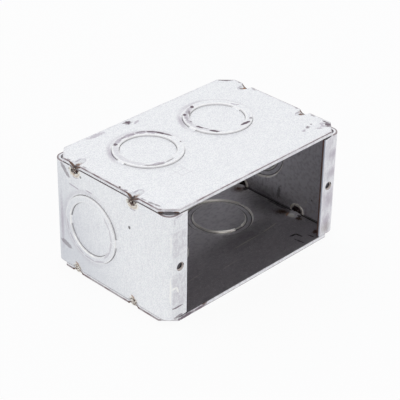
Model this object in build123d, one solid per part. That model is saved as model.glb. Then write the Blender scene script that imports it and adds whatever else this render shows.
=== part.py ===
from build123d import *
import os
from math import atan2, cos, degrees

# Single-gang masonry wiring box of galvanised sheet steel, lying on one of its side plates.
# One folded strip makes the two ends, the back and the two flanges. Two flat side plates lie on
# the strip's edges and are spot welded to it. X runs end to end, Y from the opening to the back,
# and Z up. The origin is under the middle of the box, where the lower knockout rings rest.

# Sheet and outside sizes, millimetres
sheet = 1.6
box_length = 95.25
box_depth = 63.5
strip_width = 45.5
bend_inside_radius = 2.3
flange_past_hole = 3.55
flange_skew = 0.6

# Side plates and their seat on the strip
plate_inset = 0.15
plate_clip = 5.5
seam_gap = 0.2

# Device screw holes in the flanges, at the thread's major diameter
device_hole_spacing = 83.34
device_hole_diameter = 3.5

# Concentric knockouts
slug_diameter = 22.2
ring_width = 3.0
ring_raise = 0.8
slug_raise = 0.0
shear_gap = 0.09
tie_width = 3.6
tie_run = 2.0

# Knockout places
plate_knockout_spacing = 38.1
plate_knockout_shift = 1.2
plate_knockout_from_back = 24.0
end_knockout_from_back = 21.3
left_knockout_drop = 0.6
back_knockout_spacing = 38.1

# Weld dimples at the ends of the side plates, and the beads squeezed out beside them
weld_from_back = 12.5
weld_from_rim = 19.2
dimple_width = 5.2
dimple_depth = 1.5
dimple_length = 6.0
dimple_sides = 16
bead_radius = 1.6
bead_rise = 0.5
bead_sides = 8
bead_slope = 50

# Levels and places that follow from the sizes above
ring_diameter = slug_diameter + 2 * ring_width
bend_outside_radius = bend_inside_radius + sheet
rim = -(box_depth + ring_raise) / 2
back = rim + box_depth
middle_y = (rim + back) / 2
lower_face = ring_raise
strip_bottom = lower_face + sheet + seam_gap
strip_top = strip_bottom + strip_width
upper_face = strip_top + seam_gap + sheet
middle_z = (strip_bottom + strip_top) / 2
flange_width = (box_length - device_hole_spacing) / 2 + flange_past_hole
mouth_width = box_length - 2 * flange_width
weld_rows = (back - weld_from_back, rim + weld_from_rim)

# The dimple is the print of a many-sided bar, whose lowest line starts on the plate's face and
# sinks towards the plate's edge
bar_radius = ((dimple_width / 2) ** 2 + dimple_depth ** 2) / (2 * dimple_depth)
bar_slope = atan2(dimple_depth, dimple_length)
ridge_bottom = dimple_depth + sheet / cos(bar_slope)


def web(points, width):
    """Prism of one width, centred on the XZ plane, with its section given as (x, z) points."""
    section = make_face(Polyline(*points, close=True))
    return extrude(Plane.XZ * section, width / 2, both=True)


def knockout(slug_tie_turn):
    """Concentric knockout about Z with the sheet's outer face at z = 0.

    The ring stands proud of the sheet and the slug lies between the two. Each hangs on one bent tie.

    Args:
        slug_tie_turn: degrees from the ring's tie, which points along +X, to the slug's tie.
    Returns:
        The hole to cut in the sheet, and the ring, slug and ties that fill it.
    """
    ring_radius = ring_diameter / 2
    slug_radius = slug_diameter / 2
    cut_depth = 4 * sheet
    ring_middle = ring_raise - sheet / 2
    slug_middle = slug_raise - sheet / 2
    ring_tie_end = ring_radius + tie_run / 2
    ring_tie_root = ring_radius - tie_run / 2
    slug_tie_end = slug_radius - tie_run / 2
    slug_tie_root = slug_radius + tie_run / 2

    tie_slot = Box(tie_run, tie_width, cut_depth)
    ring_tie_slot = Pos(ring_radius, 0, 0) * tie_slot
    slug_tie_slot = Rot(0, 0, slug_tie_turn) * Pos(slug_radius, 0, 0) * tie_slot

    hole = Cylinder(ring_radius + shear_gap / 2, cut_depth) + ring_tie_slot
    ring = Cylinder(ring_radius - shear_gap / 2, sheet)
    ring -= Cylinder(slug_radius + shear_gap / 2, cut_depth)
    slug = Cylinder(slug_radius - shear_gap / 2, sheet)
    metal = Pos(0, 0, ring_middle) * ring + Pos(0, 0, slug_middle) * slug
    metal = metal - ring_tie_slot - slug_tie_slot

    ring_tie = web(
        [
            (ring_tie_root, ring_raise),
            (ring_tie_end, 0),
            (ring_tie_end, -sheet),
            (ring_tie_root, ring_raise - sheet),
        ],
        tie_width,
    )
    slug_tie = web(
        [
            (slug_tie_end, slug_raise),
            (slug_tie_root, ring_raise),
            (slug_tie_root, ring_raise - sheet),
            (slug_tie_end, slug_raise - sheet),
        ],
        tie_width,
    )
    metal += ring_tie
    metal += Rot(0, 0, slug_tie_turn) * slug_tie
    return hole, metal


def pierce(part, place, slug_tie_turn):
    """The part with a knockout, at a plane whose Z points out of the sheet and X to the ring's tie."""
    hole, metal = knockout(slug_tie_turn)
    return part - place * hole + place * metal


def dimple_bar(thickness):
    """Bar of the weld dimple, sinking towards -X, with the dimple's tip at the origin.

    Args:
        thickness: what the bar is larger by all round, so that it leaves a ridge under the sheet.
    """
    section = RegularPolygon(bar_radius + thickness, dimple_sides)
    bar = extrude(section, 2 * dimple_length, both=True)
    return Rot(0, -90 - degrees(bar_slope), 0) * Pos(bar_radius, 0, 0) * bar


def at_plate_end(shape, side, row):
    """Moves a shape made for the left end of a plate to one end and weld row of it."""
    turn = 0 if side < 0 else 180
    tip_x = side * (box_length / 2 - plate_inset - dimple_length)
    return Pos(tip_x, row, 0) * Rot(0, 0, turn) * shape


def side_plate():
    """Flat side plate with its outer face up at z = 0."""
    length = box_length - 2 * plate_inset
    depth = box_depth - 2 * plate_inset
    outline = chamfer(Rectangle(length, depth).vertices(), plate_clip)
    plate = Pos(0, middle_y, -sheet) * extrude(outline, sheet)

    # Weld dimples: the ridge under the plate first, then the groove in its face
    below = Pos(0, middle_y, -box_depth / 2) * Box(length, depth, box_depth)
    for side in (-1, 1):
        for row in weld_rows:
            plate += at_plate_end(dimple_bar(sheet), side, row) & below
    for side in (-1, 1):
        for row in weld_rows:
            plate -= at_plate_end(dimple_bar(0), side, row)

    # Knockouts: the pair stands a little left of the middle, the rings' ties point left, and the
    # two slugs' ties differ
    knockout_y = back - plate_knockout_from_back
    for half, slug_tie_turn in ((-0.5, 90), (0.5, 180)):
        x = half * plate_knockout_spacing - plate_knockout_shift
        place = Plane(origin=(x, knockout_y, 0), x_dir=(-1, 0, 0), z_dir=(0, 0, 1))
        plate = pierce(plate, place, slug_tie_turn)
    return plate


def on_upper_side(shape):
    return Pos(0, 0, upper_face) * shape


def on_lower_side(shape):
    return Pos(0, 0, lower_face) * Rot(0, 180, 0) * shape


def body_wrap():
    """Folded strip: flange, end, back, end and flange in one piece."""
    outside = RectangleRounded(box_length, box_depth, bend_outside_radius)
    inside = RectangleRounded(box_length - 2 * sheet, box_depth - 2 * sheet, bend_inside_radius)
    mouth = Pos(0, -box_depth / 2) * Rectangle(mouth_width, 4 * bend_outside_radius)
    profile = outside - inside - mouth
    wrap = Pos(0, middle_y, strip_bottom) * extrude(profile, strip_width)

    # Flange ends cut out of square: the left one clears the lower plate, the right one the upper
    flange_flat = flange_width - bend_outside_radius
    wedge = web([(0, 0), (flange_flat, flange_skew), (flange_flat, 0)], 4 * sheet)
    wrap -= Pos(-box_length / 2 + bend_outside_radius, rim, strip_bottom) * wedge
    wrap -= Pos(box_length / 2 - bend_outside_radius, rim, strip_top) * Rot(0, 180, 0) * wedge

    # Device screw holes
    for x in (-device_hole_spacing / 2, device_hole_spacing / 2):
        wrap -= Pos(x, rim, middle_z) * Rot(90, 0, 0) * Cylinder(device_hole_diameter / 2, 4 * sheet)

    # Notches in the strip's edges, where the ridges under the plates are welded in
    for side in (-1, 1):
        for row in weld_rows:
            ridge = at_plate_end(dimple_bar(sheet), side, row)
            wrap -= on_upper_side(ridge)
            wrap -= on_lower_side(ridge)

    # Knockouts in both ends and in the back
    end_y = back - end_knockout_from_back
    for side, drop in ((-1, left_knockout_drop), (1, 0)):
        centre = (side * box_length / 2, end_y, middle_z - drop)
        place = Plane(origin=centre, x_dir=(0, -1, 0), z_dir=(side, 0, 0))
        wrap = pierce(wrap, place, 180)
    for x in (-back_knockout_spacing / 2, back_knockout_spacing / 2):
        place = Plane(origin=(x, back, middle_z), x_dir=(1, 0, 0), z_dir=(0, 1, 0))
        wrap = pierce(wrap, place, 180)
    return wrap


def weld_bead(side, row, outward):
    """Flat-backed bead on one face of an end wall, at the foot of an upper plate's ridge."""
    cap = extrude(Plane.YZ * RegularPolygon(bead_radius, bead_sides), bead_rise, taper=bead_slope)
    wall = box_length / 2 if outward else box_length / 2 - sheet
    facing = 0 if outward else 180
    turn = 0 if side > 0 else 180
    bead = Pos(wall, 0, -ridge_bottom) * Rot(0, 0, facing) * cap
    return Pos(0, row, 0) * Rot(0, 0, turn) * bead


def weld_beads(plate):
    """All the beads, as separate solids, trimmed where a plate's ridge passes."""
    beads = []
    for seat in (on_upper_side, on_lower_side):
        for side in (-1, 1):
            for row in weld_rows:
                for outward in (True, False):
                    beads.append(seat(weld_bead(side, row, outward) - plate))
    return Compound(children=[solid for bead in beads for solid in bead.solids()])


plate = side_plate()
nodes = {
    "body_wrap": body_wrap(),
    "upper_side_plate": on_upper_side(plate),
    "lower_side_plate": on_lower_side(plate),
    "weld_beads": weld_beads(plate),
}

os.makedirs("parts", exist_ok=True)
for name, shape in nodes.items():
    export_step(shape, f"parts/{name}.step")
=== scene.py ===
"""Looks of a galvanised single-gang masonry wiring box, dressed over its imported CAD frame."""

import logging
import math
from dataclasses import dataclass
from enum import Enum
from functools import reduce
from operator import and_, or_
from typing import Dict, Iterable, List, Optional, Sequence, Tuple, Union

import bmesh
import bpy
from mathutils import Euler, Matrix, Vector, noise


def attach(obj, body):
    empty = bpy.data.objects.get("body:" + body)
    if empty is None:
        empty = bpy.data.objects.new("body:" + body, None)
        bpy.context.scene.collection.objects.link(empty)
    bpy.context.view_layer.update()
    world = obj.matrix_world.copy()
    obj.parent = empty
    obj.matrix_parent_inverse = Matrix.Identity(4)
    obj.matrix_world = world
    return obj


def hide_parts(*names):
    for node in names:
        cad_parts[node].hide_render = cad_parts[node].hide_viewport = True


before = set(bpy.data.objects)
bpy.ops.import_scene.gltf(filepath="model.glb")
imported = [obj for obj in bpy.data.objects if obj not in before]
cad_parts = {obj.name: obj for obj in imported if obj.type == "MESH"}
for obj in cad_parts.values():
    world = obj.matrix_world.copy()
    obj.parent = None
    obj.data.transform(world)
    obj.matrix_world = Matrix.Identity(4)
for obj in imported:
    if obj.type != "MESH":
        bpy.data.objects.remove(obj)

LOG = logging.getLogger("wiring_box")
MM = 0.001
Socket = bpy.types.NodeSocket
Value = Union[float, "Level"]
Colour = Tuple[float, float, float]
Paint = Union[Socket, Colour]
Triple = Tuple[float, float, float]
Pair = Tuple[float, float]
Row = Sequence[Union[float, Pair]]
Marks = Tuple["Mark", ...]


def from_screen(red: int, green: int, blue: int) -> Colour:
    """Linear colour of an 8-bit screen colour.

    Args:
        red: its red level.
        green: its green level.
        blue: its blue level.
    Returns:
        The colour.
    """
    def linear(level: int) -> float:
        """Linear level of one 8-bit level."""
        share = level / 255
        return share / 12.92 if share <= 0.04045 else ((share + 0.055) / 1.055) ** 2.4
    return linear(red), linear(green), linear(blue)


def all_near_one(values: Sequence[float], places: Sequence[float], slack: float) -> bool:
    """True if all the values lie near the same one of several places."""
    return any(all(abs(value - place) < slack for value in values) for place in places)


class Face(Enum):
    """Faces of the box that carry marks, each with the turn that lays a mark's own plane on it."""

    FLAT = (0.0, 0.0, 0.0)
    END = (math.pi / 2, 0.0, math.pi / 2)
    FRONT = (math.pi / 2, 0.0, 0.0)


class Tint(Enum):
    """Colours of the marks that handling, forming and welding left on the zinc, and of painted shade, painted
    shadows and painted highlights.
    """

    HALO = from_screen(242, 238, 226)
    # Smudges, and also painted shade and painted shadows
    SMUDGE_AND_SHADE = from_screen(186, 180, 190)
    SCUFF = from_screen(110, 96, 106)
    # Pale marks, and also painted highlights
    PALE_AND_HIGHLIGHT = from_screen(250, 250, 248)
    SCORCH = from_screen(92, 58, 38)
    RUST = from_screen(158, 104, 56)
    # Soot, and also painted shade in corners, seams and holes
    SOOT_AND_SHADE = from_screen(48, 36, 37)

    @property
    def matt(self) -> bool:
        """True for the tints of burnt zinc, which gleams less than clean zinc."""
        return self in (Tint.HALO, Tint.RUST)


@dataclass(frozen=True)
class Mark:
    """One mark on a face: an ellipse with a broken edge, in millimetres of the row's frame.

    The mark is full inside its core, a share of its reach, and fades out to its edge.
    """

    face: Face
    place: Triple
    reach: Pair
    turn: float
    tint: Tint
    strength: float
    ragged: float
    depth: float
    folded: bool
    core: float


@dataclass(frozen=True)
class MarkPlane:
    """Plane of one face, on which marks are placed by two coordinates.

    They are X and Y on a flat face, Y and Z on an end, and X and Z on the front. A folded plane lies in
    the upper right quarter of the box, and its marks show in all four quarters.
    """

    face: Face
    level: float
    folded: bool = False

    def at(self, across: float, along: float) -> Triple:
        """Place in the row's frame of a point of the plane.

        Args:
            across: the point's first coordinate.
            along: its second coordinate.
        Returns:
            Its X, Y and Z.
        """
        if self.face is Face.FLAT:
            return across, along, self.level
        if self.face is Face.END:
            return self.level, across, along
        return across, self.level, along

    def spot(
        self, place: Pair, reach: Pair, tint: Tint, strength: float, turn: float = 0.0, ragged: float = 0.7,
        depth: float = 0.8,
    ) -> Marks:
        """One mark.

        Args:
            place: its middle on the plane.
            reach: its half sizes.
            tint: its colour.
            strength: how much it covers, up to 1.
            turn: its turn on the plane, degrees.
            ragged: how broken its edge is. Less is crisper.
            depth: how far it reaches off the plane.
        Returns:
            The mark, alone in a tuple.
        """
        core = 0.9 - 0.6 * ragged
        at = self.at(*place)
        return (Mark(self.face, at, reach, turn, tint, strength, ragged, depth, self.folded, core),)

    def stroke(
        self, points: Sequence[Pair], half: float, tint: Tint, strength: float, ragged: float = 0.5,
        depth: float = 0.8,
    ) -> Marks:
        """Marks in a row along a broken line.

        Args:
            points: the line's points on the plane.
            half: its half width.
            tint: its colour.
            strength: how much it covers, up to 1.
            ragged: how broken its edge is.
            depth: how far it reaches off the plane.
        Returns:
            One mark for each stretch of the line.
        """
        marks: Marks = ()
        for (u0, v0), (u1, v1) in zip(points, points[1:]):
            reach = (math.hypot(u1 - u0, v1 - v0) * 0.5 + half, half)
            turn = math.degrees(math.atan2(v1 - v0, u1 - u0))
            marks += self.spot(((u0 + u1) / 2, (v0 + v1) / 2), reach, tint, strength, turn, ragged, depth)
        return marks

    def arc(
        self, centre: Pair, radius: float, turns: Sequence[float], half: float, tint: Tint, strength: float,
        ragged: float = 0.6,
    ) -> Marks:
        """Stroke along a circle.

        Args:
            centre: the circle's middle on the plane.
            radius: its radius.
            turns: angles of the stroke's points, degrees.
            half: the stroke's half width.
            tint: its colour.
            strength: how much it covers, up to 1.
            ragged: how broken its edge is.
        Returns:
            One mark for each stretch between two points.
        """
        points = [
            (centre[0] + radius * math.cos(math.radians(t)), centre[1] + radius * math.sin(math.radians(t)))
            for t in turns
        ]
        return self.stroke(points, half, tint, strength, ragged)

    def spots(self, tint: Tint, *rows: Row, depth: float = 0.8) -> Marks:
        """Spots of one tint, each given by place, half sizes, strength, turn and raggedness."""
        return sum((self.spot(at, reach, tint, *rest, depth) for at, reach, *rest in rows), ())

    def shades(self, tint: Tint, *rows: Row) -> Marks:
        """Soft spots of one tint, which fade from their middle.

        Args:
            tint: their colour.
            rows: place, half sizes, strength and turn of each.
        Returns:
            The marks.
        """
        return tuple(
            Mark(self.face, self.at(*at), reach, turn, tint, strength, 0.3, 0.8, self.folded, 0.0)
            for at, reach, strength, turn in rows
        )

    def strokes(self, tint: Tint, *rows: Row, depth: float = 0.8) -> Marks:
        """Strokes of one tint.

        Args:
            tint: their colour.
            rows: half width, strength, raggedness and points of each.
            depth: how far they reach off the plane.
        Returns:
            The marks.
        """
        marks: Marks = ()
        for half, strength, ragged, *points in rows:
            marks += self.stroke(points, half, tint, strength, ragged, depth)
        return marks


@dataclass(frozen=True)
class BoxSizes:
    """Sizes of the box that the finishes and the small pieces share, millimetres in the row's frame."""

    end: float = 47.625
    rim: float = -32.15
    back: float = 31.35
    sheet: float = 1.6
    bend: float = 3.9
    mouth: float = 38.12
    plate_x: float = 47.475
    plate_front: float = -32.0
    plate_back: float = 31.2
    clip: float = 5.5
    lower_face: float = 0.8
    upper_face: float = 49.9
    strip_bottom: float = 2.6
    strip_top: float = 48.1
    middle_z: float = 25.35
    hole_x: float = 41.67
    hole_radius: float = 1.75
    weld_rows: Pair = (18.85, -12.95)
    ridge: float = 3.15
    splash: float = 2.0
    ring_radius: float = 14.1
    ring_raise: float = 0.8
    slug_radius: float = 11.1
    near_ring: Pair = (-20.25, 7.35)
    far_ring: Pair = (17.85, 7.35)
    left_ring: Pair = (10.05, 24.75)
    back_ring_x: float = 19.05


BOX = BoxSizes()


@dataclass(frozen=True)
class Knockout:
    """Axis of one concentric knockout: the face it lies in and the middle of its outer side."""

    face: Face
    place: Triple

    def rounds(self, edge: bmesh.types.BMEdge) -> bool:
        """Tells an edge of one of the two shear circles that stands proud, outside or inside the box.

        Args:
            edge: an edge of the sheet's mesh.
        Returns:
            True for such an edge.
        """
        lay = Euler(self.face.value).to_matrix().transposed()
        ends = [lay @ (vertex.co / MM - Vector(self.place)) for vertex in edge.verts]
        outward = math.copysign(1.0, (lay @ (Vector(self.place) - Vector((0, 0, BOX.middle_z)))).z)
        heights = [end.z * outward for end in ends]
        reaches = [math.hypot(end.x, end.y) for end in ends]
        proud = all_near_one(heights, (BOX.ring_raise, -BOX.sheet), 0.02)
        return proud and all_near_one(reaches, (BOX.ring_radius, BOX.slug_radius), 0.1)


UPPER_KNOCKOUTS = tuple(
    Knockout(Face.FLAT, (x, y, BOX.upper_face)) for x, y in (BOX.near_ring, BOX.far_ring)
)
LOWER_KNOCKOUTS = tuple(
    Knockout(Face.FLAT, (-x, y, BOX.lower_face)) for x, y in (BOX.near_ring, BOX.far_ring)
)
STRIP_KNOCKOUTS = (
    Knockout(Face.END, (-BOX.end, *BOX.left_ring)),
    Knockout(Face.END, (BOX.end, BOX.left_ring[0], BOX.middle_z)),
    Knockout(Face.FRONT, (-BOX.back_ring_x, BOX.back, BOX.middle_z)),
    Knockout(Face.FRONT, (BOX.back_ring_x, BOX.back, BOX.middle_z)),
)


class Nodes:
    """A node tree that is filled by short calls."""

    def __init__(self, tree: bpy.types.NodeTree) -> None:
        """Takes a tree and empties it."""
        self.tree = tree
        tree.nodes.clear()

    def put(self, socket: Socket, value: Union[Value, Paint]) -> None:
        """Links an input to a level or an output, or sets its value.

        Args:
            socket: the input.
            value: what goes into it.
        """
        if isinstance(value, Level):
            value = value.socket
        if isinstance(value, bpy.types.NodeSocket):
            self.tree.links.new(value, socket)
        else:
            socket.default_value = value

    def add(self, kind: str, inputs: Dict[Union[str, int], object], **options: str) -> bpy.types.Node:
        """New shader node.

        Args:
            kind: the node's type, without its first word.
            inputs: what goes into its inputs, by name or number.
            options: its settings.
        Returns:
            The node.
        """
        node = self.tree.nodes.new("ShaderNode" + kind)
        for name, value in options.items():
            setattr(node, name, value)
        for name, value in inputs.items():
            self.put(node.inputs[name], value)
        return node


class Level:
    """A number that a node gives out, whose operators add the nodes that work with it.

    Masks run from 0 to 1. A product of masks holds where all hold, and | takes the larger of two levels
    and & the smaller.
    """

    def __init__(self, nodes: Nodes, socket: Socket) -> None:
        """Takes an output of a tree."""
        self.nodes = nodes
        self.socket = socket

    def math(self, operation: str, first: Value, second: Value = 0.0) -> "Level":
        """Result of one Math node."""
        node = self.nodes.add("Math", {0: first, 1: second}, operation=operation)
        return Level(self.nodes, node.outputs[0])

    def __add__(self, other: Value) -> "Level":
        """Sum."""
        return self.math("ADD", self, other)

    def __sub__(self, other: Value) -> "Level":
        """Difference."""
        return self.math("SUBTRACT", self, other)

    def __rsub__(self, other: float) -> "Level":
        """Difference from a number."""
        return self.math("SUBTRACT", other, self)

    def __mul__(self, other: Value) -> "Level":
        """Product."""
        return self.math("MULTIPLY", self, other)

    def __or__(self, other: Value) -> "Level":
        """Larger of the two."""
        return self.math("MAXIMUM", self, other)

    def __and__(self, other: Value) -> "Level":
        """Smaller of the two."""
        return self.math("MINIMUM", self, other)

    def __abs__(self) -> "Level":
        """Size without its sign."""
        return self.math("ABSOLUTE", self)

    def root(self) -> "Level":
        """Square root."""
        return self.math("SQRT", self)

    def step(self, low: float, high: float, bottom: float = 0.0, top: float = 1.0) -> "Level":
        """Smooth step.

        Args:
            low: where it starts. It may lie above high.
            high: where it ends.
            bottom: its level at low.
            top: its level at high.
        Returns:
            The stepped level.
        """
        if low > high:
            low, high, bottom, top = high, low, top, bottom
        limits = {"Value": self, "From Min": low, "From Max": high, "To Min": bottom, "To Max": top}
        node = self.nodes.add("MapRange", limits, interpolation_type="SMOOTHSTEP")
        return Level(self.nodes, node.outputs["Result"])


class Bench(Nodes):
    """Node tree of one material, with short methods for the nodes the finishes are made of."""

    def __init__(self, name: str) -> None:
        """Starts an empty material whose point, x, y and z are Object coordinates in millimetres.

        Args:
            name: the material's name.
        """
        self.material = bpy.data.materials.new(name)
        self.material.use_nodes = True
        super().__init__(self.material.node_tree)
        self.shader = self.add("BsdfPrincipled", {})
        self.add("OutputMaterial", {"Surface": self.shader.outputs["BSDF"]})
        place = self.add("TexCoord", {}).outputs["Object"]
        self.point = self.scaled(place, (1 / MM, 1 / MM, 1 / MM))
        self.x, self.y, self.z = self.split(self.point)
        folds = (abs(self.x), self.y, abs(self.z - BOX.middle_z) + BOX.middle_z)
        fold = self.add("CombineXYZ", dict(enumerate(folds)))
        self.folded = self.scaled(fold.outputs[0], (1.0, 1.0, 1.0))

    def scaled(self, vector: Socket, scale: Triple) -> Socket:
        """A vector times a scale, as a point that other Mapping nodes take without conversion."""
        return self.add("Mapping", {"Vector": vector, "Scale": scale}).outputs[0]

    def split(self, vector: Socket) -> List[Level]:
        """The three parts of a vector."""
        return [Level(self, part) for part in self.add("SeparateXYZ", {0: vector}).outputs]

    def grain(self, size: float, detail: float = 3.0, stretch: Triple = (1.0, 1.0, 1.0)) -> Level:
        """Noise from 0 to 1.

        Args:
            size: about how large its features are, millimetres.
            detail: its detail.
            stretch: how many times larger they are along each axis.
        Returns:
            The noise.
        """
        point = self.scaled(self.point, tuple(1 / (size * s) for s in stretch))
        node = self.add("TexNoise", {"Vector": point, "Scale": 1.0, "Detail": detail})
        return Level(self, node.outputs["Fac"])

    def patches(
        self, size: float, fade: Pair, least: float = 0.0, most: float = 1.0, detail: float = 3.0,
        stretch: Triple = (1.0, 1.0, 1.0),
    ) -> Level:
        """Mask of patches of a noise.

        Args:
            size: about how large they are, millimetres.
            fade: levels of the noise between which the mask rises.
            least: the mask between the patches.
            most: the mask in the patches.
            detail: the noise's detail.
            stretch: how many times larger they are along each axis.
        Returns:
            The mask.
        """
        return self.grain(size, detail, stretch).step(*fade, least, most)

    def blend(self, mask: Level, under: Paint, over: Paint) -> Socket:
        """One colour laid over another.

        Args:
            mask: where the upper one shows.
            under: the lower colour.
            over: the upper colour.
        Returns:
            The blended colour.
        """
        under, over = (
            colour if isinstance(colour, bpy.types.NodeSocket) else (*colour, 1.0) for colour in (under, over)
        )
        return self.add("Mix", {"Factor": mask, 6: under, 7: over}, data_type="RGBA").outputs[2]

    def laid(
        self, face: Face, place: Triple, turn: float = 0.0, size: Triple = (1.0, 1.0, 1.0),
        folded: bool = False,
    ) -> Socket:
        """Point in the own axes of something laid on a face.

        Args:
            face: the face.
            place: the thing's middle.
            turn: its turn on the face, degrees.
            size: its sizes along its own axes, which the point is measured in.
            folded: True if it shows in all four quarters of the box.
        Returns:
            The point.
        """
        lay = Euler(face.value).to_matrix() @ Matrix.Rotation(math.radians(turn), 3, "Z")
        placing = {
            "Vector": self.folded if folded else self.point,
            "Location": place, "Rotation": lay.to_euler(), "Scale": size,
        }
        return self.add("Mapping", placing, vector_type="TEXTURE").outputs[0]

    def length(self, vector: Socket) -> Level:
        """Length of a vector."""
        return Level(self, self.add("VectorMath", {0: vector}, operation="LENGTH").outputs["Value"])

    def spot(self, mark: Mark, breakup: Level) -> Level:
        """Mask of one mark, with its edge broken by a noise.

        A spherical gradient measures from the mark's middle, so the marks need little of the shader's stack.

        Args:
            mark: the mark.
            breakup: the noise.
        Returns:
            The mask.
        """
        wide = 4.0
        size = (mark.reach[0] * wide, mark.reach[1] * wide, mark.depth * wide)
        point = self.laid(mark.face, mark.place, mark.turn, size, mark.folded)
        ball = self.add("TexGradient", {"Vector": point}, gradient_type="SPHERICAL")
        near = Level(self, ball.outputs["Fac"]) - breakup * (2 * mark.ragged / wide)
        edge = 1.0 - (1.0 + mark.ragged) / wide
        core = 1.0 - (mark.core + mark.ragged) / wide
        return near.step(edge, core, 0.0, mark.strength)

    def radius(self, knockouts: Iterable[Knockout]) -> Level:
        """Distance from the axis of the nearest knockout, counted only near its own wall.

        Args:
            knockouts: the knockouts of the sheet.
        Returns:
            The distance, millimetres.
        """
        reaches = []
        for knockout in knockouts:
            across, along, off = self.split(self.laid(knockout.face, knockout.place))
            other_wall = abs(off).step(4.0, 5.0, 0.0, 500.0)
            reaches.append((across * across + along * along).root() + other_wall)
        return reduce(and_, reaches)

    def finish(
        self, colour: Socket, metallic: Value, roughness: Level, height: Level, distance: float,
        strength: float,
    ) -> bpy.types.Material:
        """Sets the shader.

        Args:
            colour: the base colour.
            metallic: how metallic it is.
            roughness: how rough it is.
            height: the noise of its bump.
            distance: height of the bump, millimetres.
            strength: how much of the bump shows.
        Returns:
            The material.
        """
        bump = self.add("Bump", {"Height": height, "Distance": distance * MM, "Strength": strength})
        looks = {
            "Base Color": colour, "Metallic": metallic, "Roughness": roughness, "Normal": bump.outputs[0],
        }
        for name, value in looks.items():
            self.put(self.shader.inputs[name], value)
        return self.material


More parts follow.
